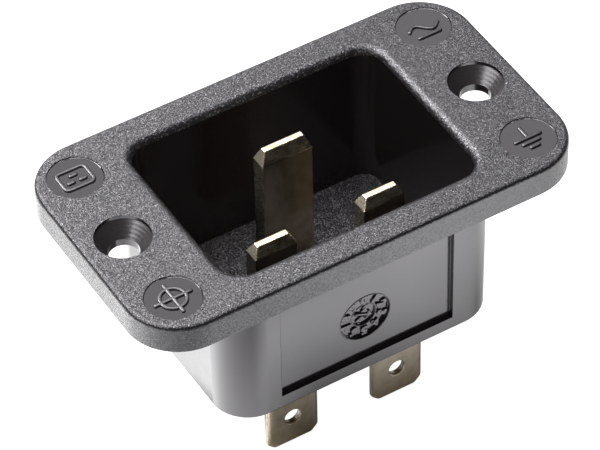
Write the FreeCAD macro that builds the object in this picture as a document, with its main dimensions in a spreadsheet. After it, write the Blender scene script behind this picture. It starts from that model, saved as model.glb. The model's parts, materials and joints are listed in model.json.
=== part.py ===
import FreeCAD
import Part
import Sketcher
import math
import os

# Panel-mounting mains inlet with three flat pins: a one-piece moulded housing, three solid pins
# riveted through its floor and three push-on tabs held by the rivets.
# Frame: the origin is the centre of the flange's underside, which seats on the panel. +Z is out of
# the front, X runs along the line of the two screws, and the line and neutral pins are on -Y.

NODES = ["housing", "line_pin", "neutral_pin", "earth_pin",
         "line_terminal", "neutral_terminal", "earth_terminal"]
QUARTER_TURN = math.pi / 2
TOLERANCE = 1e-4

doc = FreeCAD.newDocument("panel_inlet")

# Driving dimensions, in millimetres and degrees
sizes = doc.addObject("Spreadsheet::Sheet", "sizes")
DIMENSIONS = [
    ("cavity_length", "30.0", "socket cavity at the front, along X, before the lip is rounded"),
    ("cavity_width", "21.8", "socket cavity at the front, along Y, before the lip is rounded"),
    ("cavity_depth", "17.95", "from the flange's front face to the cavity floor"),
    ("cavity_corner_radius", "2.6", "upright corners of the cavity, at the front"),
    ("cavity_draft", "2.0", "slope of the cavity walls"),
    ("lip_radius", "0.9", "rounding of the cavity's mouth"),
    ("shroud_wall", "1.6", "long walls of the rear body, at the cavity's mouth"),
    ("shroud_end_wall", "1.3", "end walls of the rear body, at the cavity's mouth"),
    ("floor_thickness", "2.25", "floor between the cavity and the rear face"),
    ("body_corner_radius", "4.3", "upright corners of the rear body"),
    ("body_draft", "0.3", "slope of the rear body's sides"),
    ("flange_thickness", "3.4", "flange, from the panel to its front face"),
    ("flange_end_margin", "4.65", "from a screw's axis to the flange's end"),
    ("flange_side_margin", "3.75", "from the cavity to the flange's long edge"),
    ("flange_corner_radius", "6.1", "corners of the flange"),
    ("flange_edge_radius", "0.5", "rounded front edge of the flange"),
    ("screw_land", "6.1", "from the cavity's end to a screw's axis"),
    ("screw_hole_diameter", "3.3", "clearance hole for an M3 screw"),
    ("screw_hole_chamfer", "0.5", "chamfer round that hole's rear rim"),
    ("countersink_diameter", "6.0", "countersink at its rim"),
    ("countersink_angle", "82", "countersink's full angle"),
    ("countersink_lip", "0.45", "straight lip above the cone"),
    ("medallion_diameter", "6.0", "shallow round recess in each corner of the flange"),
    ("medallion_depth", "0.15", "depth of those recesses"),
    ("medallion_fillet", "0.1", "rounding between the wall and floor of those recesses"),
    ("medallion_inset", "4.7", "from the flange's edges to the centre of a recess"),
    ("recess_length", "20.8", "shallow panel in each long side of the body"),
    ("recess_depth", "0.6", "depth of that panel"),
    ("recess_ledge", "1.6", "height left under that panel"),
    ("dial_diameter", "6.0", "round date dial in the front panel"),
    ("dial_depth", "0.35", "depth of the dial"),
    ("hub_diameter", "2.9", "deeper middle of the dial"),
    ("hub_depth", "0.2", "depth of that middle below the dial"),
    ("dial_drop", "9.65", "from the flange's underside to the dial's centre"),
    ("pin_pitch", "13.0", "between the line and neutral pins"),
    ("live_row_offset", "4.4", "line and neutral pins, from the middle towards -Y"),
    ("earth_row_offset", "4.0", "earth pin, from the middle towards +Y"),
    ("live_blade_width", "5.0", "line and neutral pins, along X"),
    ("earth_blade_width", "6.0", "earth pin, along X"),
    ("blade_thickness", "2.0", "all pins, along Y"),
    ("live_tip_drop", "4.4", "line and neutral tips, below the flange's front face"),
    ("earth_tip_drop", "1.0", "earth tip, below the flange's front face"),
    ("tip_inset", "0.65", "how far the tip's bevels come in"),
    ("live_tip_bevel", "1.2", "height of the bevel on the line and neutral pins"),
    ("earth_tip_bevel", "1.55", "height of the bevel on the earth pin"),
    ("blade_edge_radius", "0.12", "broken edges of the pins"),
    ("blade_seat", "0.5", "how far a blade stands in the floor"),
    ("tenon_width", "2.6", "rivet tenon under the blade, along X"),
    ("tenon_thickness", "1.6", "rivet tenon under the blade, along Y"),
    ("rivet_lip", "0.5", "how far the rivet's head stands out round the tenon"),
    ("rivet_height", "0.6", "height of the rivet's head"),
    ("rivet_edge_radius", "0.36", "rounded edge of the rivet's head"),
    ("tab_width", "6.3", "push-on tab, along X"),
    ("tab_thickness", "0.8", "sheet of the tab"),
    ("tab_reach", "12.1", "tab, beyond the rear face"),
    ("tab_offset", "3.4", "from the pin's axis to the tab's outer face"),
    ("tab_corner", "0.85", "chamfered corners of the tab's end"),
    ("tab_corner_radius", "0.7", "rounding of those chamfers' ends"),
    ("tab_edge_radius", "0.34", "rolled edges of the tab"),
    ("tab_bend", "0.5", "inner radius of the bend between tab and foot"),
    ("foot_tail", "1.7", "foot, from the pin's axis to its inner end"),
    ("detent_diameter", "1.85", "hole in the tab"),
    ("detent_edge_radius", "0.25", "rounded rims of that hole"),
    ("detent_to_tip", "3.8", "from the tab's end to that hole"),
    ("fit_clearance", "0.05", "round every tenon, blade and foot"),
]
for row, (alias, value, meaning) in enumerate(DIMENSIONS, start=1):
    sizes.set(f"A{row}", meaning)
    sizes.set(f"B{row}", value)
    sizes.setAlias(f"B{row}", alias)
doc.recompute()

# Sizes that follow from those
SCREW_SPACING = "(sizes.cavity_length + 2 * sizes.screw_land)"
FLANGE_LENGTH = f"({SCREW_SPACING} + 2 * sizes.flange_end_margin)"
FLANGE_WIDTH = "(sizes.cavity_width + 2 * sizes.flange_side_margin)"
BODY_LENGTH = "(sizes.cavity_length + 2 * sizes.shroud_end_wall)"
BODY_WIDTH = "(sizes.cavity_width + 2 * sizes.shroud_wall)"
FLOOR_Z = "(sizes.flange_thickness - sizes.cavity_depth)"
REAR_Z = f"({FLOOR_Z} - sizes.floor_thickness)"
SEAT_Z = f"({FLOOR_Z} - sizes.blade_seat)"
FOOT_Z = f"({REAR_Z} + sizes.tab_thickness)"
FOOT_LENGTH = "(sizes.foot_tail + sizes.tab_offset)"
FOOT_MIDDLE = "((sizes.foot_tail - sizes.tab_offset) / 2)"

# How the contacts stand: place of the pin's axis, blade, tip, and which way the tab faces
LIVE_BLADE = ("sizes.live_blade_width", "sizes.live_tip_drop", "sizes.live_tip_bevel")
EARTH_BLADE = ("sizes.earth_blade_width", "sizes.earth_tip_drop", "sizes.earth_tip_bevel")
CONTACTS = {
    "line": ("-sizes.pin_pitch / 2", "-sizes.live_row_offset", LIVE_BLADE, 1),
    "neutral": ("sizes.pin_pitch / 2", "-sizes.live_row_offset", LIVE_BLADE, 1),
    "earth": ("0", "sizes.earth_row_offset", EARTH_BLADE, -1),
}


def number(expression):
    """The value of an expression, as a plain number."""
    return float(sizes.evalExpression(expression))


def new_body(label):
    body = doc.addObject("PartDesign::Body", label)
    body.Label = label
    return body


def origin_plane(body, role):
    return next(item for item in body.Origin.OriginFeatures if item.Role == role)


def new_sketch(body, name, role, x="0", y="0", z="0"):
    """A sketch on one of the body's own planes, moved along the plane by x and y, off it by z."""
    sketch = body.newObject("Sketcher::SketchObject", name)
    sketch.AttachmentSupport = [(origin_plane(body, role), "")]
    sketch.MapMode = "FlatFace"
    for axis, expression in zip("xyz", (x, y, z)):
        sketch.setExpression(f"AttachmentOffset.Base.{axis}", expression)
    return sketch


def drive(sketch, name, expression, kind, *points):
    """Adds a dimension that follows the sheet."""
    index = sketch.addConstraint(Sketcher.Constraint(kind, *points, number(expression)))
    sketch.renameConstraint(index, name)
    sketch.setExpression(f"Constraints.{name}", expression)


def draw_rectangle(sketch, width, height, radius=None):
    """A rectangle about the sketch's origin, with rounded corners where a radius is given."""
    right = number(width) / 2
    top = number(height) / 2
    corner = number(radius) if radius else 0.0
    vector = FreeCAD.Vector
    ends = [
        (vector(corner - right, -top), vector(right - corner, -top)),
        (vector(right, corner - top), vector(right, top - corner)),
        (vector(right - corner, top), vector(corner - right, top)),
        (vector(-right, top - corner), vector(-right, corner - top)),
    ]
    lines = [sketch.addGeometry(Part.LineSegment(*pair)) for pair in ends]
    for line, direction in zip(lines, ("Horizontal", "Vertical") * 2):
        sketch.addConstraint(Sketcher.Constraint(direction, line))
    if radius:
        centres = [vector(right - corner, corner - top), vector(right - corner, top - corner),
                   vector(corner - right, top - corner), vector(corner - right, corner - top)]
        arcs = []
        for turn, centre in enumerate(centres):
            circle = Part.Circle(centre, vector(0, 0, 1), corner)
            arc = Part.ArcOfCircle(circle, (turn - 1) * QUARTER_TURN, turn * QUARTER_TURN)
            arcs.append(sketch.addGeometry(arc))
        for turn, arc in enumerate(arcs):
            following = lines[(turn + 1) % len(lines)]
            sketch.addConstraint(Sketcher.Constraint("Tangent", lines[turn], 2, arc, 1))
            sketch.addConstraint(Sketcher.Constraint("Tangent", arc, 2, following, 1))
        for arc in arcs[1:]:
            sketch.addConstraint(Sketcher.Constraint("Equal", arcs[0], arc))
        sketch.addConstraint(Sketcher.Constraint("Symmetric", arcs[0], 3, arcs[2], 3, -1, 1))
        drive(sketch, "corner_radius", radius, "Radius", arcs[0])
    else:
        for turn, line in enumerate(lines):
            following = lines[(turn + 1) % len(lines)]
            sketch.addConstraint(Sketcher.Constraint("Coincident", line, 2, following, 1))
        sketch.addConstraint(Sketcher.Constraint("Symmetric", lines[0], 1, lines[2], 1, -1, 1))
    drive(sketch, "width", width, "DistanceX", lines[3], 1, lines[1], 1)
    drive(sketch, "height", height, "DistanceY", lines[0], 1, lines[2], 1)


def draw_circles(sketch, diameter, places):
    """Equal circles, each at a place given as two pairs of a side, -1, 0 or 1, and a distance."""
    for index, ((side_x, far_x), (side_y, far_y)) in enumerate(places):
        centre = FreeCAD.Vector(side_x * number(far_x), side_y * number(far_y), 0)
        circle = sketch.addGeometry(Part.Circle(centre, FreeCAD.Vector(0, 0, 1), number(diameter) / 2))
        for axis, side, far in (("X", side_x, far_x), ("Y", side_y, far_y)):
            points = (circle, 3, -1, 1) if side < 0 else (-1, 1, circle, 3)
            if side:
                drive(sketch, f"place_{axis}_{index}", far, f"Distance{axis}", *points)
            else:
                on_axis = -2 if axis == "X" else -1
                sketch.addConstraint(Sketcher.Constraint("PointOnObject", circle, 3, on_axis))
        drive(sketch, f"diameter_{index}", diameter, "Diameter", circle)


def extrude(body, kind, name, sketch, length, reverse=False, middle=False, taper=None):
    """A pad or pocket of the sketch, which may be reversed, laid to both sides or tapered."""
    feature = body.newObject(f"PartDesign::{kind}", name)
    feature.Profile = sketch
    feature.Type = "Length"
    feature.setExpression("Length", length)
    feature.Reversed = reverse
    if middle:
        feature.SideType = "Symmetric"
    if taper:
        feature.setExpression("TaperAngle", taper)
    sketch.Visibility = False
    doc.recompute()
    return feature


def pad(body, name, sketch, length, **options):
    return extrude(body, "Pad", name, sketch, length, **options)


def pocket(body, name, sketch, length, **options):
    feature = extrude(body, "Pocket", name, sketch, length, **options)
    if feature.Shape.Volume >= feature.BaseFeature.Shape.Volume:
        raise RuntimeError(f"{name} cuts nothing")
    return feature


def edges_where(shape, test):
    """Names of the edges whose centre passes the test."""
    return [f"Edge{index}" for index, edge in enumerate(shape.Edges, start=1)
            if not edge.Degenerated and test(edge.CenterOfMass)]


def dress(body, kind, name, base, edges, size):
    """A fillet or chamfer of the named edges of the base feature."""
    if not edges:
        raise RuntimeError(f"{name} finds no edges")
    feature = body.newObject(f"PartDesign::{kind}", name)
    feature.Base = (base, edges)
    feature.setExpression("Radius" if kind == "Fillet" else "Size", size)
    doc.recompute()
    return feature


def near(value, expression):
    return abs(value - number(expression)) < TOLERANCE


def make_housing():
    body = new_body("housing")
    flange_sketch = new_sketch(body, "flange_outline", "XY_Plane")
    draw_rectangle(flange_sketch, FLANGE_LENGTH, FLANGE_WIDTH, "sizes.flange_corner_radius")
    flange = pad(body, "flange", flange_sketch, "sizes.flange_thickness")
    front_edges = edges_where(flange.Shape, lambda point: near(point.z, "sizes.flange_thickness"))
    dress(body, "Fillet", "flange_edge", flange, front_edges, "sizes.flange_edge_radius")

    shroud_sketch = new_sketch(body, "shroud_outline", "XY_Plane")
    draw_rectangle(shroud_sketch, BODY_LENGTH, BODY_WIDTH, "sizes.body_corner_radius")
    pad(body, "shroud", shroud_sketch, f"-{REAR_Z}", reverse=True, taper="-sizes.body_draft")

    cavity_sketch = new_sketch(body, "cavity_outline", "XY_Plane", z="sizes.flange_thickness")
    draw_rectangle(cavity_sketch, "sizes.cavity_length", "sizes.cavity_width",
                   "sizes.cavity_corner_radius")
    cavity = pocket(body, "cavity", cavity_sketch, "sizes.cavity_depth", taper="-sizes.cavity_draft")
    reach_x = number("(sizes.cavity_length + sizes.lip_radius) / 2")
    reach_y = number("(sizes.cavity_width + sizes.lip_radius) / 2")
    mouth_edges = edges_where(cavity.Shape, lambda point: near(point.z, "sizes.flange_thickness")
                              and abs(point.x) < reach_x and abs(point.y) < reach_y)
    dress(body, "Fillet", "lip", cavity, mouth_edges, "sizes.lip_radius")

    cut_screw_holes(body)
    cut_medallions(body)
    cut_side_panels(body)
    for name, (x, y, blade, facing) in CONTACTS.items():
        cut_contact_seat(body, name, x, y, blade, facing)
    return body


def cut_screw_holes(body):
    half = f"{SCREW_SPACING} / 2"
    places = [((side, half), (0, "0")) for side in (-1, 1)]
    rim_sketch = new_sketch(body, "countersink_rims", "XY_Plane", z="sizes.flange_thickness")
    draw_circles(rim_sketch, "sizes.countersink_diameter", places)
    pocket(body, "countersink_lips", rim_sketch, "sizes.countersink_lip")
    hole_sketch = new_sketch(body, "screw_circles", "XY_Plane",
                             z="sizes.flange_thickness - sizes.countersink_lip")
    draw_circles(hole_sketch, "sizes.screw_hole_diameter", places)
    doc.recompute()
    holes = body.newObject("PartDesign::Hole", "screw_holes")
    holes.Profile = hole_sketch
    holes.ThreadType = "None"
    holes.DepthType = "ThroughAll"
    holes.HoleCutType = "Countersink"
    holes.HoleCutCustomValues = True
    holes.setExpression("Diameter", "sizes.screw_hole_diameter")
    holes.setExpression("HoleCutDiameter", "sizes.countersink_diameter")
    holes.setExpression("HoleCutCountersinkAngle", "sizes.countersink_angle")
    hole_sketch.Visibility = False
    doc.recompute()
    if holes.Shape.Volume >= holes.BaseFeature.Shape.Volume:
        raise RuntimeError("the screw holes cut nothing")
    rear_rims = edges_where(holes.Shape, lambda point: near(point.z, "0") and near(point.y, "0")
                            and near(abs(point.x), half))
    dress(body, "Chamfer", "screw_hole_rims", holes, rear_rims, "sizes.screw_hole_chamfer")


def cut_medallions(body):
    far_x = f"({FLANGE_LENGTH} / 2 - sizes.medallion_inset)"
    far_y = f"({FLANGE_WIDTH} / 2 - sizes.medallion_inset)"
    places = [((side_x, far_x), (side_y, far_y)) for side_x in (-1, 1) for side_y in (-1, 1)]
    sketch = new_sketch(body, "medallion_circles", "XY_Plane", z="sizes.flange_thickness")
    draw_circles(sketch, "sizes.medallion_diameter", places)
    medallions = pocket(body, "medallions", sketch, "sizes.medallion_depth")
    floor = "sizes.flange_thickness - sizes.medallion_depth"
    rims = edges_where(medallions.Shape, lambda point: near(point.z, floor)
                       and near(abs(point.x), far_x) and near(abs(point.y), far_y))
    dress(body, "Fillet", "medallion_bases", medallions, rims, "sizes.medallion_fillet")


def cut_side_panels(body):
    """The shallow panel in both long sides, and the dial in the front one."""
    height = f"(-{REAR_Z} - sizes.recess_ledge)"
    face = f"{BODY_WIDTH} / 2"
    for name, offset, away in (("front", face, False), ("back", f"-{face}", True)):
        sketch = new_sketch(body, f"{name}_panel_outline", "XZ_Plane", y=f"-{height} / 2", z=offset)
        draw_rectangle(sketch, "sizes.recess_length", height)
        pocket(body, f"{name}_panel", sketch, "sizes.recess_depth", reverse=away)
    panel = f"{face} - sizes.recess_depth"
    depths = {"dial": "sizes.dial_depth", "hub": "sizes.dial_depth + sizes.hub_depth"}
    for name, depth in depths.items():
        sketch = new_sketch(body, f"{name}_circle", "XZ_Plane", y="-sizes.dial_drop", z=panel)
        draw_circles(sketch, f"sizes.{name}_diameter", [((0, "0"), (0, "0"))])
        pocket(body, name, sketch, depth)


def cut_contact_seat(body, name, x, y, blade, facing):
    """Seats a contact in the floor: slot for the blade, hole for the tenon, bed for the foot."""
    slot = new_sketch(body, f"{name}_slot_outline", "XY_Plane", x=x, y=y, z=FLOOR_Z)
    draw_rectangle(slot, f"{blade[0]} + 2 * sizes.fit_clearance",
                   "sizes.blade_thickness + 2 * sizes.fit_clearance")
    pocket(body, f"{name}_slot", slot, "sizes.blade_seat")
    hole = new_sketch(body, f"{name}_tenon_outline", "XY_Plane", x=x, y=y, z=FLOOR_Z)
    draw_rectangle(hole, "sizes.tenon_width + 2 * sizes.fit_clearance",
                   "sizes.tenon_thickness + 2 * sizes.fit_clearance")
    pocket(body, f"{name}_tenon_hole", hole, "sizes.floor_thickness")
    bed = new_sketch(body, f"{name}_foot_outline", "XY_Plane", x=x,
                     y=f"{y} + {facing} * {FOOT_MIDDLE}", z=REAR_Z)
    draw_rectangle(bed, "sizes.tab_width + 2 * sizes.fit_clearance",
                   f"{FOOT_LENGTH} + 2 * sizes.fit_clearance")
    pocket(body, f"{name}_foot_bed", bed, "sizes.tab_thickness", reverse=True)


def make_pin(label, x, y, blade):
    """A flat pin with a bevelled tip, and under it the tenon that is riveted over the tab's foot."""
    width, tip_drop, bevel = blade
    shoulder = f"(sizes.flange_thickness - {tip_drop} - {bevel})"
    body = new_body(label)
    shank_sketch = new_sketch(body, f"{label}_section", "XY_Plane", z=SEAT_Z)
    draw_rectangle(shank_sketch, width, "sizes.blade_thickness")
    pad(body, f"{label}_shank", shank_sketch, f"{shoulder} - {SEAT_Z}")
    tip_sketch = new_sketch(body, f"{label}_shoulder", "XY_Plane", z=shoulder)
    draw_rectangle(tip_sketch, width, "sizes.blade_thickness")
    tip = pad(body, f"{label}_tip", tip_sketch, bevel, taper=f"-atan(sizes.tip_inset / {bevel})")
    blade_edges = edges_where(tip.Shape, lambda point: not near(point.z, SEAT_Z))
    dress(body, "Fillet", f"{label}_edges", tip, blade_edges, "sizes.blade_edge_radius")

    tenon_sketch = new_sketch(body, f"{label}_tenon_section", "XY_Plane", z=SEAT_Z)
    draw_rectangle(tenon_sketch, "sizes.tenon_width", "sizes.tenon_thickness")
    pad(body, f"{label}_tenon", tenon_sketch, f"{SEAT_Z} - {REAR_Z}", reverse=True)
    head_sketch = new_sketch(body, f"{label}_head_section", "XY_Plane", z=REAR_Z)
    draw_rectangle(head_sketch, "sizes.tenon_width + 2 * sizes.rivet_lip",
                   "sizes.tenon_thickness + 2 * sizes.rivet_lip", "sizes.rivet_lip")
    head = pad(body, f"{label}_head", head_sketch, "sizes.rivet_height", reverse=True)
    lowest = f"({REAR_Z} - sizes.rivet_height)"
    head_edges = edges_where(head.Shape, lambda point: near(point.z, lowest))
    dress(body, "Fillet", f"{label}_head_edge", head, head_edges, "sizes.rivet_edge_radius")
    body.setExpression("Placement.Base.x", x)
    body.setExpression("Placement.Base.y", y)
    return body


def make_terminal(label, x, y, facing):
    """A push-on tab bent from a foot that lies under the floor; the tab is on -Y until it is turned."""
    body = new_body(label)
    foot_sketch = new_sketch(body, f"{label}_foot_outline", "XY_Plane", y=FOOT_MIDDLE, z=REAR_Z)
    draw_rectangle(foot_sketch, "sizes.tab_width", FOOT_LENGTH)
    pad(body, f"{label}_foot", foot_sketch, "sizes.tab_thickness")
    tab_length = "(sizes.tab_reach + sizes.tab_thickness)"
    tab_sketch = new_sketch(body, f"{label}_tab_outline", "XZ_Plane",
                            y=f"{FOOT_Z} - {tab_length} / 2", z="sizes.tab_offset")
    draw_rectangle(tab_sketch, "sizes.tab_width", tab_length)
    tab = pad(body, f"{label}_tab", tab_sketch, "sizes.tab_thickness", reverse=True)

    outside = edges_where(tab.Shape, lambda point: near(point.y, "-sizes.tab_offset")
                          and near(point.z, FOOT_Z))
    bend = dress(body, "Fillet", f"{label}_bend_outside", tab, outside,
                 "sizes.tab_bend + sizes.tab_thickness")
    inside = edges_where(bend.Shape, lambda point: near(point.y, "sizes.tab_thickness - sizes.tab_offset")
                         and near(point.z, REAR_Z))
    bend = dress(body, "Fillet", f"{label}_bend_inside", bend, inside, "sizes.tab_bend")
    corners = edges_where(bend.Shape, lambda point: near(abs(point.x), "sizes.tab_width / 2")
                          and near(point.z, f"{REAR_Z} - sizes.tab_reach"))
    end = dress(body, "Chamfer", f"{label}_corners", bend, corners, "sizes.tab_corner")
    bend_z = number(f"{REAR_Z} - sizes.tab_bend") - TOLERANCE
    across = edges_where(end.Shape, lambda point: point.z < bend_z
                         and near(point.y, "sizes.tab_thickness / 2 - sizes.tab_offset"))
    end = dress(body, "Fillet", f"{label}_corner_ends", end, across, "sizes.tab_corner_radius")
    faces = ("-sizes.tab_offset", "sizes.tab_thickness - sizes.tab_offset")
    outline = edges_where(end.Shape, lambda point: point.z < bend_z
                          and any(near(point.y, face) for face in faces))
    dress(body, "Fillet", f"{label}_edges", end, outline, "sizes.tab_edge_radius")

    detent_z = f"({REAR_Z} - sizes.tab_reach + sizes.detent_to_tip)"
    detent_sketch = new_sketch(body, f"{label}_detent_circle", "XZ_Plane", y=detent_z, z="sizes.tab_offset")
    draw_circles(detent_sketch, "sizes.detent_diameter", [((0, "0"), (0, "0"))])
    detent = pocket(body, f"{label}_detent", detent_sketch, "sizes.tab_thickness")
    rims = edges_where(detent.Shape, lambda point: near(point.x, "0") and near(point.z, detent_z)
                       and any(near(point.y, face) for face in faces))
    dress(body, "Fillet", f"{label}_detent_rims", detent, rims, "sizes.detent_edge_radius")
    hole_sketch = new_sketch(body, f"{label}_rivet_outline", "XY_Plane", z=FOOT_Z)
    draw_rectangle(hole_sketch, "sizes.tenon_width + 2 * sizes.fit_clearance",
                   "sizes.tenon_thickness + 2 * sizes.fit_clearance")
    pocket(body, f"{label}_rivet_hole", hole_sketch, "sizes.tab_thickness")
    if facing < 0:
        body.Placement.Rotation = FreeCAD.Rotation(FreeCAD.Vector(0, 0, 1), 180)
    body.setExpression("Placement.Base.x", x)
    body.setExpression("Placement.Base.y", y)
    return body


make_housing()
for contact, (place_x, place_y, contact_blade, tab_facing) in CONTACTS.items():
    make_pin(f"{contact}_pin", place_x, place_y, contact_blade)
    make_terminal(f"{contact}_terminal", place_x, place_y, tab_facing)
doc.recompute()

for item in doc.Objects:
    if "Invalid" in item.State or "Error" in item.State:
        raise RuntimeError(f"{item.Name} failed: {item.State}")
for node in NODES:
    shape = doc.getObjectsByLabel(node)[0].Shape
    if shape.isNull() or not shape.isValid() or len(shape.Solids) != 1:
        raise RuntimeError(f"{node} is not one valid solid")

os.makedirs("parts", exist_ok=True)
for node in NODES:
    doc.getObjectsByLabel(node)[0].Shape.exportStep(f"parts/{node}.step")
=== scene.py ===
import json
import math

import bpy
from mathutils import Matrix, Quaternion, Vector


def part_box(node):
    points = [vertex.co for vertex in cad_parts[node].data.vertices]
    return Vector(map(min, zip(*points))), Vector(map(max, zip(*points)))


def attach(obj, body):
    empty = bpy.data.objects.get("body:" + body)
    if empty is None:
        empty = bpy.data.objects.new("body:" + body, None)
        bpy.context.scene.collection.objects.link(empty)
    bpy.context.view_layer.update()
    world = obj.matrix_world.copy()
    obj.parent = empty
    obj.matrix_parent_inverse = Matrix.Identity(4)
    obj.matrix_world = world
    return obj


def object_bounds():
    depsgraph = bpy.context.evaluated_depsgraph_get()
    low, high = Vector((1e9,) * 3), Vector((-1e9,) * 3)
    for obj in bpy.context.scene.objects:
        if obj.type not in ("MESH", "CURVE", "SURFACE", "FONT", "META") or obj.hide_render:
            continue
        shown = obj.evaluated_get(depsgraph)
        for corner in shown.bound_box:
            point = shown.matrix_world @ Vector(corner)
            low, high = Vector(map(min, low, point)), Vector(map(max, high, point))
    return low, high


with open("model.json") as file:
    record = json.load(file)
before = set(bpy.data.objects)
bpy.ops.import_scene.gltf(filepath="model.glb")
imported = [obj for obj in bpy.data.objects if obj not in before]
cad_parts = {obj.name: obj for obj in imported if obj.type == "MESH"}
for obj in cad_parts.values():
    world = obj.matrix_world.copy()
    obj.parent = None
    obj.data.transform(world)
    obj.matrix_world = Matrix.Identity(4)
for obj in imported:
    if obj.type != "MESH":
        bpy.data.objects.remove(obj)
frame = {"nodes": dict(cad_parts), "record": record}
cad_low, cad_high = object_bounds()

MM = 0.001
ROOT = "root"

# Camera, as it stood for the photograph
CAMERA_AIM = Vector((-0.38, 0.22, -6.44)) * MM
CAMERA_DISTANCE = 399.1 * MM
CAMERA_AZIMUTH = math.radians(30.44)
CAMERA_ELEVATION = math.radians(45.57)
CAMERA_ROLL = math.radians(1.38)
CAMERA_LENS = 230.45
CAMERA_SENSOR = 36.0
CAMERA_RANGE = (0.01, 20.0)

# Places on the housing, from its box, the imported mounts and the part's own sizes
HOUSING_LOW, HOUSING_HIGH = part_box("housing")
FRONT_Z = HOUSING_HIGH.z
FLOOR_Z = cad_low.z
MOUNTS = {mount["name"]: mount for mount in frame["record"]["mounts"]}
SCREW_X = MOUNTS["panel_screws"]["dims"]["spacing_x_mm"] / 2 * MM
COUNTERSINK_RADIUS = 3.0 * MM
MEDALLION_INSET = 4.7 * MM
MEDALLION_RADIUS = 3.0 * MM
MEDALLION_DEPTH = 0.15 * MM
MEDALLION_X = HOUSING_HIGH.x - MEDALLION_INSET
MEDALLION_Y = HOUSING_HIGH.y - MEDALLION_INSET
MOUTH_X = 16.2 * MM
MOUTH_Y = 12.1 * MM
LIP_Z = FRONT_Z - 1.0 * MM
CAVITY_FLOOR_Z = FRONT_Z - 17.95 * MM
TAB_TOP_Z = HOUSING_LOW.z
DIAL_Z = -9.65 * MM
PANEL_Y = -11.9 * MM
DIAL_GROUND_Y = -11.55 * MM
HUB_GROUND_Y = -11.35 * MM
TOUCH = 0.02 * MM

# Sockets of a Mix node that blends colours
MIX_FACTOR, MIX_FIRST, MIX_SECOND = 0, 6, 7
MIX_RESULT = 2


def add_object(name, data):
    thing = bpy.data.objects.new(name, data)
    bpy.context.scene.collection.objects.link(thing)
    return thing


def new_material(name):
    material = bpy.data.materials.new(name)
    material.use_nodes = True
    tree = material.node_tree
    return material, tree, tree.nodes["Principled BSDF"]


def add_node(tree, kind, **settings):
    """A shader node whose properties and inputs are set by name."""
    node = tree.nodes.new(f"ShaderNode{kind}")
    for name, value in settings.items():
        if hasattr(node, name):
            setattr(node, name, value)
        else:
            node.inputs[name].default_value = value
    return node


def object_place(tree):
    return add_node(tree, "TexCoord").outputs["Object"]


def noise(tree, size, detail=2.0, roughness=0.5):
    """Soft noise whose lumps are about size across."""
    node = add_node(tree, "TexNoise", Scale=1 / size, Detail=detail, Roughness=roughness)
    tree.links.new(object_place(tree), node.inputs["Vector"])
    return node.outputs["Fac"]


def ramp(tree, source, low, high, from_low=0.0, from_high=1.0):
    node = add_node(tree, "MapRange")
    for name, value in (("From Min", from_low), ("From Max", from_high), ("To Min", low), ("To Max", high)):
        node.inputs[name].default_value = value
    tree.links.new(source, node.inputs["Value"])
    return node.outputs["Result"]


def bump(tree, height, distance, strength=1.0, after=None):
    node = add_node(tree, "Bump", Strength=strength, Distance=distance)
    tree.links.new(height, node.inputs["Height"])
    if after is not None:
        tree.links.new(after, node.inputs["Normal"])
    return node.outputs["Normal"]


def rounded_edges(tree, radius):
    return add_node(tree, "Bevel", samples=6, Radius=radius).outputs["Normal"]


def blend_colours(tree, factor, low, high):
    node = add_node(tree, "Mix", data_type="RGBA")
    node.inputs[MIX_FIRST].default_value = low
    node.inputs[MIX_SECOND].default_value = high
    tree.links.new(factor, node.inputs[MIX_FACTOR])
    return node.outputs[MIX_RESULT]


# Black moulding
PLASTIC_COLOUR = (0.0125, 0.0098, 0.0102, 1)
PLASTIC_IOR = 1.55
# The tint on the plastic's reflections is the cool colour of the light, painted into the material.
PAINTED_LIGHT_TINT = (0.98, 0.955, 1.0, 1)
GRAIN_DARK = (0.014, 0.013, 0.0145, 1)
# The pale speck colour of the grain is a painted glint.
GRAIN_PAINTED_GLINT = (0.26, 0.245, 0.26, 1)
# The dimmer speck colour of the cavity floor's grain is painted light on that shaded floor.
GRAIN_CAVITY_PAINTED_LIGHT = (0.16, 0.15, 0.16, 1)
GRAIN_GLOSS = 0.4
GLINT_SPECK_SIZE = 0.11 * MM
GLINT_SPECK_SHARE = 0.14
# The countersinks' black is lighter than the rest of the moulding: painted light that lifts them out of their
# shade.
TURNED_PAINTED_LIGHT_COLOUR = (0.036, 0.032, 0.033, 1)
TURNED_PITCH = 0.3 * MM


def plastic(name):
    material, tree, shader = new_material(name)
    shader.inputs["Base Color"].default_value = PLASTIC_COLOUR
    shader.inputs["IOR"].default_value = PLASTIC_IOR
    shader.inputs["Specular Tint"].default_value = PAINTED_LIGHT_TINT
    return material, tree, shader


def smooth_plastic():
    """Polished faces of the mould, with the faint waviness of a moulding."""
    material, tree, shader = plastic("smooth_plastic")
    tree.links.new(ramp(tree, noise(tree, 1.5 * MM), 0.13, 0.2), shader.inputs["Roughness"])
    soft = rounded_edges(tree, 0.12 * MM)
    waviness = bump(tree, noise(tree, 5 * MM), 0.02 * MM, strength=0.3, after=soft)
    tree.links.new(waviness, shader.inputs["Normal"])
    return material


def facets(tree, size, tilt):
    """Normals of a surface broken into small facets, each tilted its own way."""
    cells = add_node(tree, "TexVoronoi", Scale=1 / size)
    tree.links.new(object_place(tree), cells.inputs["Vector"])
    lean = add_node(tree, "VectorMath", operation="MULTIPLY_ADD")
    tree.links.new(cells.outputs["Color"], lean.inputs[0])
    lean.inputs[1].default_value = (2 * tilt, 2 * tilt, 2 * tilt)
    lean.inputs[2].default_value = (-tilt, -tilt, -tilt)
    tilted = add_node(tree, "VectorMath", operation="ADD")
    tree.links.new(add_node(tree, "NewGeometry").outputs["Normal"], tilted.inputs[0])
    tree.links.new(lean.outputs["Vector"], tilted.inputs[1])
    unit = add_node(tree, "VectorMath", operation="NORMALIZE")
    tree.links.new(tilted.outputs["Vector"], unit.inputs[0])
    return unit.outputs["Vector"]


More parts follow.
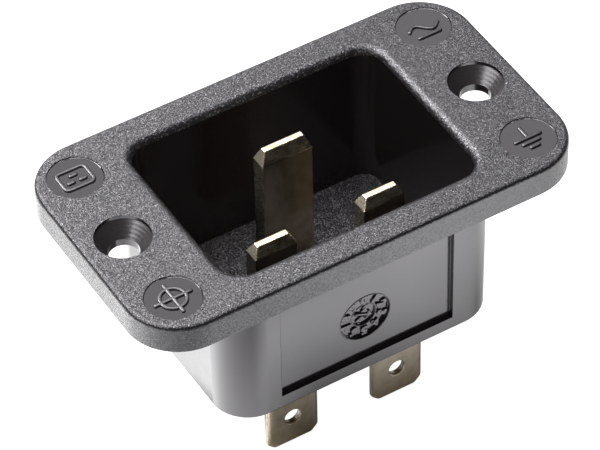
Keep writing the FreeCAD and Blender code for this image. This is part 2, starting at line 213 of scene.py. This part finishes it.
def grained_plastic(name, size, tilt, depth, roughness, glint_colour):
    """Spark-eroded grain: fine pits whose facets sparkle, with a few specks of painted glint, in the colour
    given, mixed into its dark colour.
    """
    material, tree, shader = plastic(name)
    cells = add_node(tree, "TexVoronoi", Scale=1 / GLINT_SPECK_SIZE)
    tree.links.new(object_place(tree), cells.inputs["Vector"])
    shades = add_node(tree, "SeparateColor")
    tree.links.new(cells.outputs["Color"], shades.inputs["Color"])
    # Specks of painted glint, mixed into the grain's colour.
    glint_specks = ramp(tree, shades.outputs["Red"], 0.0, 1.0, 1 - GLINT_SPECK_SHARE, 1.0)
    tree.links.new(blend_colours(tree, glint_specks, GRAIN_DARK, glint_colour), shader.inputs["Base Color"])
    shader.inputs["Specular IOR Level"].default_value = GRAIN_GLOSS
    tree.links.new(ramp(tree, noise(tree, 0.5 * MM), *roughness), shader.inputs["Roughness"])
    pits = bump(tree, noise(tree, 1.6 * size, detail=0.0), depth, after=facets(tree, size, tilt))
    tree.links.new(pits, shader.inputs["Normal"])
    return material


def satin_plastic(name, roughness):
    """Floors of the medallions and their signs, a little duller than the polished faces."""
    material, tree, shader = plastic(name)
    tree.links.new(ramp(tree, noise(tree, 0.8 * MM, detail=3.0), *roughness), shader.inputs["Roughness"])
    tree.links.new(bump(tree, noise(tree, 1.2 * MM), 0.01 * MM, strength=0.5), shader.inputs["Normal"])
    return material


def turned_plastic():
    """Countersinks, with the rings left by turning the mould's core pins."""
    material, tree, shader = plastic("turned_plastic")
    # A lighter black than the moulding's, as painted light in the shaded countersinks.
    shader.inputs["Base Color"].default_value = TURNED_PAINTED_LIGHT_COLOUR
    parts = add_node(tree, "SeparateXYZ")
    tree.links.new(object_place(tree), parts.inputs["Vector"])
    side = add_node(tree, "Math", operation="ABSOLUTE")
    tree.links.new(parts.outputs["X"], side.inputs[0])
    across = add_node(tree, "Math", operation="SUBTRACT")
    tree.links.new(side.outputs["Value"], across.inputs[0])
    across.inputs[1].default_value = SCREW_X
    flat = add_node(tree, "CombineXYZ")
    tree.links.new(across.outputs["Value"], flat.inputs["X"])
    tree.links.new(parts.outputs["Y"], flat.inputs["Y"])
    reach = add_node(tree, "VectorMath", operation="LENGTH")
    tree.links.new(flat.outputs["Vector"], reach.inputs[0])
    phase = add_node(tree, "Math", operation="MULTIPLY")
    tree.links.new(reach.outputs["Value"], phase.inputs[0])
    phase.inputs[1].default_value = 2 * math.pi / TURNED_PITCH
    rings = add_node(tree, "Math", operation="SINE")
    tree.links.new(phase.outputs["Value"], rings.inputs[0])
    tree.links.new(ramp(tree, noise(tree, 0.6 * MM), 0.28, 0.36), shader.inputs["Roughness"])
    normal = bump(tree, rings.outputs["Value"], 0.003 * MM)
    tree.links.new(bump(tree, noise(tree, 0.4 * MM), 0.005 * MM, after=normal), shader.inputs["Normal"])
    return material


# Nickel plate over brass
ROLL_WIDTH = 0.9 * MM
ROLL_DEPTH = 0.38 * MM
# Painted shade that darkens each tab towards its tip.
TIP_PAINTED_SHADE = (0.16, 0.132, 0.088, 1)
# One plating on all three tabs, in lit and shaded copies: the line tab's colours are darkened as painted
# shade and the neutral tab's lightened as painted light; the earth tab's lie between.
TAB_LIT_AND_SHADED_COLOURS = {
    "line": ((0.43, 0.375, 0.275, 1), (0.56, 0.5, 0.39, 1)),
    "neutral": ((0.75, 0.67, 0.53, 1), (0.9, 0.83, 0.69, 1)),
    "earth": ((0.5, 0.44, 0.34, 1), (0.64, 0.58, 0.47, 1)),
}


def streaks(tree, size, stretch, axis=2):
    """Noise drawn out along one axis, as a sheet or bar comes off its rolls."""
    scale = [1 / stretch if index == axis else 1 for index in range(3)]
    mapping = add_node(tree, "Mapping", Scale=scale)
    tree.links.new(object_place(tree), mapping.inputs["Vector"])
    node = add_node(tree, "TexNoise", Scale=1 / size, Detail=2.0)
    tree.links.new(mapping.outputs["Vector"], node.inputs["Vector"])
    return node.outputs["Fac"]


def rolled_edges(tree, low_x, high_x, after):
    """Normals of a sheet that falls away towards its two long edges."""
    parts = add_node(tree, "SeparateXYZ")
    tree.links.new(object_place(tree), parts.inputs["Vector"])
    across = add_node(tree, "Math", operation="SUBTRACT")
    tree.links.new(parts.outputs["X"], across.inputs[0])
    across.inputs[1].default_value = (low_x + high_x) / 2
    side = add_node(tree, "Math", operation="ABSOLUTE")
    tree.links.new(across.outputs["Value"], side.inputs[0])
    half_width = (high_x - low_x) / 2
    near_edge = ramp(tree, side.outputs["Value"], 0.0, 1.0, half_width - ROLL_WIDTH, half_width)
    fall = add_node(tree, "Math", operation="POWER")
    tree.links.new(near_edge, fall.inputs[0])
    fall.inputs[1].default_value = 2.0
    return bump(tree, ramp(tree, fall.outputs["Value"], 1.0, 0.0), ROLL_DEPTH, after=after)


def tarnished(tree, colour):
    """A tab's colour, which darkens towards its end as painted shade of the shadowed floor it mirrors there.
    """
    parts = add_node(tree, "SeparateXYZ")
    tree.links.new(object_place(tree), parts.inputs["Vector"])
    shade = add_node(tree, "Mix", data_type="RGBA", blend_type="MULTIPLY")
    tree.links.new(ramp(tree, parts.outputs["Z"], 1.0, 0.0, FLOOR_Z, TAB_TOP_Z), shade.inputs[MIX_FACTOR])
    tree.links.new(colour, shade.inputs[MIX_FIRST])
    shade.inputs[MIX_SECOND].default_value = TIP_PAINTED_SHADE
    return shade.outputs[MIX_RESULT]


def plated_metal(name, low, high, roughness, edge, axis=2, span=None):
    """Rolled face: drawn streaks, faint stains and softly rounded edges.

    A tab gives its span along X, is darkened towards its end by painted shade, and falls away towards its
    long edges.
    """
    material, tree, shader = new_material(name)
    shader.inputs["Metallic"].default_value = 1.0
    stains = ramp(tree, noise(tree, 1.1 * MM, detail=4.0), 0.0, 1.0, 0.35, 0.7)
    colour = blend_colours(tree, stains, high, low)
    normal = rounded_edges(tree, edge)
    if span is not None:
        colour = tarnished(tree, colour)
        normal = rolled_edges(tree, *span, normal)
    tree.links.new(colour, shader.inputs["Base Color"])
    tree.links.new(ramp(tree, streaks(tree, 0.22 * MM, 12, axis), *roughness), shader.inputs["Roughness"])
    normal = bump(tree, streaks(tree, 0.16 * MM, 14, axis), 0.006 * MM, strength=0.6, after=normal)
    normal = bump(tree, noise(tree, 0.09 * MM), 0.004 * MM, strength=0.5, after=normal)
    tree.links.new(normal, shader.inputs["Normal"])
    return material


def sheared_metal(name, low, high, roughness, edge, tear):
    """Cut side: torn, speckled metal with short drag marks along Z."""
    material, tree, shader = new_material(name)
    shader.inputs["Metallic"].default_value = 1.0
    torn = ramp(tree, noise(tree, 0.28 * MM, detail=4.0, roughness=0.65), 0.0, 1.0, 0.38, 0.66)
    tree.links.new(blend_colours(tree, torn, low, high), shader.inputs["Base Color"])
    tree.links.new(ramp(tree, torn, roughness[1], roughness[0]), shader.inputs["Roughness"])
    soft = rounded_edges(tree, edge)
    normal = bump(tree, streaks(tree, 0.2 * MM, 4), tear, strength=0.5, after=soft)
    tree.links.new(bump(tree, torn, tear, strength=0.7, after=normal), shader.inputs["Normal"])
    return material


# Which material slot of the housing or of a contact holds which finish
SMOOTH, GRAIN, SATIN, TURNED, FINE_GRAIN, ROUGH_GRAIN, LIP_GRAIN = range(7)
ROLLED_FACE, CUT_SIDE, BEVEL, BEVELLED_END = range(4)

# How far a face's normal leans, where that tells its finish
FLAT_LEAN = 0.9
LIP_LEAN = 0.1
CONE_LEAN = 0.3
ROUNDING_LEAN = 0.75
BEVEL_LEANS = (0.3, 0.52)
SIDE_LEAN = 0.75


def in_circle(point, x, y, radius):
    """True in any of the circles that mirror each other in X and Y."""
    return math.hypot(abs(point.x) - x, abs(point.y) - y) < radius


def housing_finish(point, normal):
    if abs(point.x) < MOUTH_X and abs(point.y) < MOUTH_Y:
        if abs(point.z - CAVITY_FLOOR_Z) < TOUCH and normal.z > FLAT_LEAN:
            return ROUGH_GRAIN
        return LIP_GRAIN if point.z > LIP_Z and normal.z > LIP_LEAN else SMOOTH
    if point.z < TOUCH:
        return SMOOTH
    if point.z < FRONT_Z - TOUCH:
        if in_circle(point, MEDALLION_X, MEDALLION_Y, MEDALLION_RADIUS + TOUCH):
            return SATIN
        if in_circle(point, SCREW_X, 0, COUNTERSINK_RADIUS + TOUCH):
            return TURNED if normal.z > CONE_LEAN else SMOOTH
        if normal.z < ROUNDING_LEAN:
            return FINE_GRAIN
    return GRAIN


def contact_finish(normal):
    bevelled = BEVEL_LEANS[0] < normal.z < BEVEL_LEANS[1]
    if abs(normal.x) > SIDE_LEAN:
        return BEVELLED_END if bevelled else CUT_SIDE
    return BEVEL if bevelled else ROLLED_FACE


def set_materials(mesh, materials):
    mesh.materials.clear()
    for material in materials:
        mesh.materials.append(material)


def dress_housing():
    mesh = frame["nodes"]["housing"].data
    set_materials(mesh, (
        smooth_plastic(),
        grained_plastic("grained_plastic", 0.065 * MM, 0.36, 0.012 * MM, (0.35, 0.43), GRAIN_PAINTED_GLINT),
        satin_plastic("satin_plastic", (0.12, 0.18)),
        turned_plastic(),
        grained_plastic("fine_grained_plastic", 0.08 * MM, 0.18, 0.008 * MM, (0.22, 0.3), GRAIN_DARK),
        # On the cavity floor the grain's specks carry painted light that lifts the shaded floor.
        grained_plastic("rough_grained_plastic", 0.09 * MM, 0.45, 0.018 * MM, (0.38, 0.48), GRAIN_CAVITY_PAINTED_LIGHT),
        grained_plastic("lip_grained_plastic", 0.07 * MM, 0.27, 0.01 * MM, (0.28, 0.36), GRAIN_PAINTED_GLINT),
    ))
    for face in mesh.polygons:
        face.material_index = housing_finish(face.center, face.normal)


def dress_contact(node, materials):
    mesh = frame["nodes"][node].data
    set_materials(mesh, materials)
    for face in mesh.polygons:
        face.material_index = contact_finish(face.normal)


def dress_contacts():
    pin_face = plated_metal("pin_face", (0.5, 0.41, 0.28, 1), (0.68, 0.6, 0.46, 1), (0.12, 0.24), 0.15 * MM)
    # The pins' cut sides are near black: painted shade over a really torn, speckled surface.
    pin_side = sheared_metal("pin_side", (0.03, 0.026, 0.018, 1), (0.4, 0.36, 0.285, 1),
                             (0.16, 0.46), 0.08 * MM, 0.1 * MM)
    pin_bevel = plated_metal("pin_bevel", (0.2, 0.17, 0.11, 1), (0.5, 0.44, 0.33, 1),
                             (0.2, 0.34), 0.12 * MM, axis=0)
    pin_end = sheared_metal("pin_end", (0.28, 0.25, 0.185, 1), (0.55, 0.5, 0.4, 1),
                            (0.34, 0.48), 0.12 * MM, 0.012 * MM)
    # The tabs' cut sides are darker than their faces: painted shade on a rough sheared edge.
    tab_side = sheared_metal("tab_side", (0.3, 0.285, 0.245, 1), (0.4, 0.38, 0.335, 1),
                             (0.42, 0.55), 0.25 * MM, 0.01 * MM)
    for contact, (low, high) in TAB_LIT_AND_SHADED_COLOURS.items():
        tab_low, tab_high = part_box(f"{contact}_terminal")
        tab_face = plated_metal(f"{contact}_tab_face", low, high, (0.24, 0.36), 0.25 * MM,
                                span=(tab_low.x, tab_high.x))
        dress_contact(f"{contact}_pin", (pin_face, pin_side, pin_bevel, pin_end))
        dress_contact(f"{contact}_terminal", (tab_face, tab_side, tab_face, tab_side))


# Raised signs and numbers of the mould, drawn in millimetres as rounded ridges
RIDGE_STEPS = 8
RIDGE_SQUARENESS = 0.6
RIDGE_END_SHARES = (0.45, 0.8, 0.97)
STROKE_STEPS = 6
WAVE_STEPS = 24


def ridge(points, half_width, height, closed=False):
    """Vertices (u, v, height) and faces of a rounded ridge along a line of points on a flat ground."""
    points = [Vector(point) for point in points]
    stations = []
    count = len(points)
    for index, point in enumerate(points):
        before = points[index - 1] if closed or index else points[0]
        after = points[(index + 1) % count] if closed or index < count - 1 else points[-1]
        along = (after - before).normalized()
        stations.append((point, along, 1.0))
    if not closed:
        first, last = stations[0], stations[-1]
        for share in RIDGE_END_SHARES:
            size = math.sqrt(1 - share * share)
            stations.insert(0, (first[0] - first[1] * half_width * share, first[1], size))
            stations.append((last[0] + last[1] * half_width * share, last[1], size))
    profile = [math.pi * step / RIDGE_STEPS for step in range(RIDGE_STEPS + 1)]
    vertices = []
    for point, along, size in stations:
        across = Vector((-along.y, along.x))
        for angle in profile:
            place = point + across * (half_width * size * math.cos(angle))
            vertices.append((place.x, place.y, height * size * math.sin(angle) ** RIDGE_SQUARENESS))
    rows = len(stations)
    width = len(profile)
    faces = []
    for row in range(rows if closed else rows - 1):
        start = row * width
        after = (row + 1) % rows * width
        for step in range(width - 1):
            faces.append((start + step, start + step + 1, after + step + 1, after + step))
    return vertices, faces


def arc(centre, radius, start, end, steps):
    angles = [math.radians(start + (end - start) * step / steps) for step in range(steps + 1)]
    return [(centre[0] + radius * math.cos(a), centre[1] + radius * math.sin(a)) for a in angles]


def circle(radius, count):
    return arc((0, 0), radius, 0, 360 - 360 / count, count - 1)


def rounded_box(half_x, half_y, radius):
    x, y = half_x - radius, half_y - radius
    corners = (((x, y), 0), ((-x, y), 90), ((-x, -y), 180), ((x, -y), 270))
    points = []
    for centre, start in corners:
        points += arc(centre, radius, start, start + 90, STROKE_STEPS)
    return points


def wave(half_length, height):
    shares = [step / WAVE_STEPS for step in range(WAVE_STEPS + 1)]
    return [(half_length * (2 * share - 1), height * math.sin(2 * math.pi * share)) for share in shares]


def dense(start, end):
    return [Vector(start).lerp(Vector(end), step / STROKE_STEPS) for step in range(STROKE_STEPS + 1)]


SIGNS = {
    "sign_socket": ((-1, 1), (
        (rounded_box(1.45, 1.15, 0.45), True),
        (dense((-0.85, -0.4), (-0.35, -0.4)), False),
        (dense((0.35, -0.4), (0.85, -0.4)), False),
        (dense((-0.28, 0.4), (0.28, 0.4)), False),
    )),
    "sign_current": ((1, 1), (
        (wave(1.5, 0.5), False),
        (dense((-1.1, -1.1), (1.1, -1.1)), False),
    )),
    "sign_earth": ((1, -1), (
        (dense((0, 1.5), (0, 0.25)), False),
        (dense((-1.3, 0.1), (1.3, 0.1)), False),
        (dense((-0.85, -0.5), (0.85, -0.5)), False),
        (dense((-0.4, -1.1), (0.4, -1.1)), False),
    )),
    "sign_centre": ((-1, -1), (
        (circle(1.2, 24), True),
        (dense((-1.75, 0), (1.75, 0)), False),
        (dense((0, -1.75), (0, 1.75)), False),
    )),
}
SIGN_SCALE = Vector((1.15, 1.15, 1)) * MM
SIGN_HALF_WIDTH = 0.2
SIGN_HEIGHT = 0.2
NUMBER_BOLDNESS = 0.08
NUMBER_BEVEL = 0.05
DIAL_NUMBERS = 10
DIAL_NUMBER_RADIUS = 2.25
DIAL_NUMBER_SIZE = 1.45
DIAL_NUMBER_HEIGHT = 0.3
DIAL_RIM_RADIUS = 3.03
HUB_RIM_RADIUS = 1.48
RIM_LINE_SIZE = 0.06
HUB_NUMBER_SIZE = 1.1
HUB_NUMBER_HEIGHT = 0.24
HUB_NUMBER_RISE = 0.78
HUB_NUMBER_SHIFT = -0.1
ARROW_TAIL, ARROW_TIP = (-1.0, 0), (0.95, 0)
ARROW_BARBS = ((0.5, 0.4), (0.5, -0.4))
ARROW_SHAFT_HALF_WIDTH = 0.22
ARROW_BARB_HALF_WIDTH = 0.2
ARROW_HEIGHT = 0.26
ARROW_SLOPE = math.radians(-25)


def add_piece(name, vertices, faces, material):
    mesh = bpy.data.meshes.new(name)
    mesh.from_pydata(vertices, [], faces)
    mesh.update()
    mesh.materials.append(material)
    for face in mesh.polygons:
        face.use_smooth = True
    piece = add_object(name, mesh)
    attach(piece, ROOT)


def join(parts):
    """One list of vertices and one of faces from several pairs."""
    vertices, faces = [], []
    for part_vertices, part_faces in parts:
        base = len(vertices)
        vertices += part_vertices
        faces += [tuple(base + index for index in face) for face in part_faces]
    return vertices, faces


def make_signs():
    material = satin_plastic("sign_plastic", (0.37, 0.45))
    ground = FRONT_Z - MEDALLION_DEPTH
    for name, ((side_x, side_y), strokes) in SIGNS.items():
        ridges = [ridge(points, SIGN_HALF_WIDTH, SIGN_HEIGHT, closed) for points, closed in strokes]
        vertices, faces = join(ridges)
        centre = Vector((side_x * MEDALLION_X, side_y * MEDALLION_Y, ground))
        add_piece(name, [centre + Vector(vertex) * SIGN_SCALE for vertex in vertices], faces, material)


def number_ridges(text, size, height):
    """A number as a bevelled relief, centred and upright."""
    data = bpy.data.curves.new("number", "FONT")
    data.body = text
    data.size = size
    data.align_x = "CENTER"
    data.align_y = "CENTER"
    data.resolution_u = 3
    data.offset = NUMBER_BOLDNESS
    data.extrude = height / 2
    data.bevel_depth = NUMBER_BEVEL
    data.bevel_resolution = 2
    letter = bpy.data.objects.new("number", data)
    mesh = bpy.data.meshes.new_from_object(letter)
    centre_x = sum(vertex.co.x for vertex in mesh.vertices) / len(mesh.vertices)
    high = max(vertex.co.y for vertex in mesh.vertices)
    low = min(vertex.co.y for vertex in mesh.vertices)
    middle = Vector((centre_x, (high + low) / 2, 0))
    vertices = [vertex.co - middle for vertex in mesh.vertices]
    faces = [tuple(face.vertices) for face in mesh.polygons]
    bpy.data.objects.remove(letter)
    bpy.data.curves.remove(data)
    bpy.data.meshes.remove(mesh)
    return vertices, faces


def turned(part, angle, offset):
    """A part turned about its own centre and then moved by offset."""
    vertices, faces = part
    turn = Matrix.Rotation(angle, 3, "Z")
    shift = Vector((offset[0], offset[1], 0))
    return [turn @ Vector(vertex) + shift for vertex in vertices], faces


def on_dial(vertices, ground):
    """Dial drawings (right, up, height) set on a ground of the recess, facing -Y."""
    return [Vector((v.x * MM, ground - v.z * MM, DIAL_Z + v.y * MM)) for v in vertices]


def make_dial_marks():
    material = smooth_plastic()
    ring = []
    for number in range(DIAL_NUMBERS):
        angle = math.pi / 2 - 2 * math.pi * number / DIAL_NUMBERS
        offset = (DIAL_NUMBER_RADIUS * math.cos(angle), DIAL_NUMBER_RADIUS * math.sin(angle))
        part = number_ridges(str(number), DIAL_NUMBER_SIZE, DIAL_NUMBER_HEIGHT)
        ring.append(turned(part, angle - math.pi / 2, offset))
    vertices, faces = join(ring)
    add_piece("dial_numbers", on_dial(vertices, DIAL_GROUND_Y), faces, material)
    rim_lines = (("dial_rim_line", DIAL_RIM_RADIUS, PANEL_Y), ("hub_rim_line", HUB_RIM_RADIUS, DIAL_GROUND_Y))
    for name, radius, ground in rim_lines:
        vertices, faces = ridge(circle(radius, 72), RIM_LINE_SIZE, RIM_LINE_SIZE, closed=True)
        add_piece(name, on_dial([Vector(vertex) for vertex in vertices], ground), faces, material)
    hub = [ridge(dense(ARROW_TAIL, ARROW_TIP), ARROW_SHAFT_HALF_WIDTH, ARROW_HEIGHT)]
    for barb in ARROW_BARBS:
        hub.append(ridge(dense(ARROW_TIP, barb), ARROW_BARB_HALF_WIDTH, ARROW_HEIGHT))
    for number, rise in (("2", HUB_NUMBER_RISE), ("4", -HUB_NUMBER_RISE)):
        part = number_ridges(number, HUB_NUMBER_SIZE, HUB_NUMBER_HEIGHT)
        hub.append(turned(part, 0, (HUB_NUMBER_SHIFT, rise)))
    vertices, faces = join(hub)
    turn = Matrix.Rotation(ARROW_SLOPE, 3, "Z")
    add_piece("dial_arrow", on_dial([turn @ Vector(v) for v in vertices], HUB_GROUND_Y), faces, material)


# Floor, with the glow that the camera sees and the one that shows in the gloss
FLOOR_HALF = 3.0
FLOOR_COLOUR = (0.8, 0.8, 0.8, 1)
FLOOR_SEEN = 0.9
FLOOR_MIRRORED = 0.14
WHITE = (1, 1, 1, 1)
BLACK = (0, 0, 0, 1)


def make_floor():
    mesh = bpy.data.meshes.new("floor")
    signs = ((-1, -1), (1, -1), (1, 1), (-1, 1))
    mesh.from_pydata([(x * FLOOR_HALF, y * FLOOR_HALF, FLOOR_Z) for x, y in signs], [], [(0, 1, 2, 3)])
    material, tree, shader = new_material("white_floor")
    shader.inputs["Base Color"].default_value = FLOOR_COLOUR
    shader.inputs["Roughness"].default_value = 0.9
    shader.inputs["Specular IOR Level"].default_value = 0.0
    shader.inputs["Emission Color"].default_value = WHITE
    path = add_node(tree, "LightPath")
    seen = ramp(tree, path.outputs["Is Camera Ray"], 0.0, FLOOR_SEEN)
    mirrored = ramp(tree, path.outputs["Is Glossy Ray"], 0.0, FLOOR_MIRRORED)
    glow = add_node(tree, "Math", operation="ADD")
    tree.links.new(seen, glow.inputs[0])
    tree.links.new(mirrored, glow.inputs[1])
    tree.links.new(glow.outputs["Value"], shader.inputs["Emission Strength"])
    mesh.materials.append(material)
    add_object("floor", mesh)


# The room lights the object evenly, and is darker where the gloss mirrors it
WORLD_LEVEL = 0.3
WORLD_REFLECTED = 0.12


def make_world():
    world = bpy.data.worlds.new("studio")
    bpy.context.scene.world = world
    world.use_nodes = True
    tree = world.node_tree
    background = tree.nodes["Background"]
    background.inputs["Color"].default_value = WHITE
    path = add_node(tree, "LightPath")
    even = ramp(tree, path.outputs["Is Glossy Ray"], WORLD_LEVEL, WORLD_REFLECTED)
    strength = add_node(tree, "Math", operation="MAXIMUM")
    tree.links.new(even, strength.inputs[0])
    tree.links.new(path.outputs["Is Camera Ray"], strength.inputs[1])
    tree.links.new(strength.outputs["Value"], background.inputs["Strength"])


def softbox(name, place, width, height, radiance, diffuse=False):
    """A flat soft light, its place in millimetres, turned to the object.

    One without diffuse shows only as a reflection in the gloss.
    """
    lamp = bpy.data.lights.new(name, "AREA")
    lamp.shape = "RECTANGLE"
    lamp.size = width
    lamp.size_y = height
    lamp.energy = radiance * math.pi * width * height
    thing = add_object(name, lamp)
    thing.location = Vector(place) * MM
    thing.rotation_euler = (-thing.location).to_track_quat("-Z", "Y").to_euler()
    thing.visible_camera = False
    thing.visible_diffuse = diffuse


# Ring of light on the floor. Its inner band and its outer one each lie between two radii
GLOW_RADII = (8 * MM, 21.4 * MM, 21.5 * MM, 30 * MM, 40 * MM, 110 * MM)
GLOW_HEIGHT = 0.2 * MM
GLOW_STEPS = 120

# Azimuth in degrees, then the glow of the inner band, near it, farther out and in the outer band
FLOOR_GLOW = (
    (0, 0.4, 0.7, 0.8, 1.3),
    (30, 0.37, 1.2, 1.3, 1.7),
    (60, 0.37, 2.2, 2.2, 2.2),
    (90, 0.37, 2.6, 2.6, 2.6),
    (120, 0.37, 3.1, 3.05, 3.0),
    (150, 0.37, 3.8, 3.6, 3.4),
    (180, 0.5, 4.8, 4.4, 3.9),
    (195, 0.8, 4.6, 4.1, 3.25),
    (210, 3.4, 4.4, 3.8, 2.6),
    (225, 0.85, 3.6, 3.35, 2.1),
    (240, 0.38, 2.8, 2.9, 1.55),
    (270, 0.43, 1.2, 3.8, 2.15),
    (300, 0.46, 1.1, 3.15, 4.4),
    (330, 0.46, 0.4, 0.85, 2.2),
    (360, 0.4, 0.7, 0.8, 1.3),
)


def floor_glow(angle):
    for (low, *glow_low), (high, *glow_high) in zip(FLOOR_GLOW, FLOOR_GLOW[1:]):
        if low <= angle <= high:
            share = (angle - low) / (high - low)
            return [a + (b - a) * share for a, b in zip(glow_low, glow_high)]


def make_glow_ring():
    """Light lying on the floor round the object, seen only as reflections in the gloss."""
    vertices, glow, faces = [], [], []
    rows = len(GLOW_RADII)
    for step in range(GLOW_STEPS):
        angle = 360 * step / GLOW_STEPS
        turn = math.radians(angle)
        levels = floor_glow(angle)
        for radius, level in zip(GLOW_RADII, levels[:1] + levels + levels[-1:]):
            vertices.append((radius * math.cos(turn), radius * math.sin(turn), FLOOR_Z + GLOW_HEIGHT))
            glow.append(level)
        here, after = rows * step, rows * ((step + 1) % GLOW_STEPS)
        for row in range(rows - 1):
            faces.append((here + row, here + row + 1, after + row + 1, after + row))
    mesh = bpy.data.meshes.new("glow_ring")
    mesh.from_pydata(vertices, [], faces)
    mesh.attributes.new("glow", "FLOAT", "POINT").data.foreach_set("value", glow)
    material, tree, shader = new_material("glow")
    shader.inputs["Base Color"].default_value = BLACK
    shader.inputs["Specular IOR Level"].default_value = 0.0
    shader.inputs["Emission Color"].default_value = WHITE
    reading = add_node(tree, "Attribute", attribute_name="glow")
    tree.links.new(reading.outputs["Fac"], shader.inputs["Emission Strength"])
    mesh.materials.append(material)
    ring = add_object("glow_ring", mesh)
    ring.visible_camera = False
    ring.visible_diffuse = False
    ring.visible_shadow = False


def make_lights():
    softbox("top_softbox", (140, 240, 285), 0.3, 0.24, 2.2, diffuse=True)
    softbox("ceiling_softbox", (25, 60, 286), 0.14, 0.14, 17.0)
    softbox("overhead_softbox", (-140, 5, 225), 0.2, 0.2, 3.3, diffuse=True)
    softbox("back_softbox", (180, 390, 110), 0.5, 0.24, 0.9)
    softbox("back_left_softbox", (-95, 180, 213), 0.12, 0.12, 48.0)
    softbox("left_softbox", (-220, 60, 175), 0.3, 0.1, 10.0)
    make_glow_ring()


def make_camera():
    data = bpy.data.cameras.new("camera")
    data.sensor_width = CAMERA_SENSOR
    data.lens = CAMERA_LENS
    data.clip_start, data.clip_end = CAMERA_RANGE
    camera = add_object("camera", data)
    level = math.cos(CAMERA_ELEVATION)
    forward = Vector((math.sin(CAMERA_AZIMUTH) * level, math.cos(CAMERA_AZIMUTH) * level,
                      -math.sin(CAMERA_ELEVATION)))
    camera.location = CAMERA_AIM - forward * CAMERA_DISTANCE
    camera.rotation_mode = "QUATERNION"
    roll = Quaternion((0, 0, 1), -CAMERA_ROLL)
    camera.rotation_quaternion = forward.to_track_quat("-Z", "Y") @ roll
    bpy.context.scene.camera = camera


dress_housing()
dress_contacts()
make_signs()
make_dial_marks()
make_floor()
make_world()
make_lights()
make_camera()
bpy.context.scene.view_settings.view_transform = "Standard"
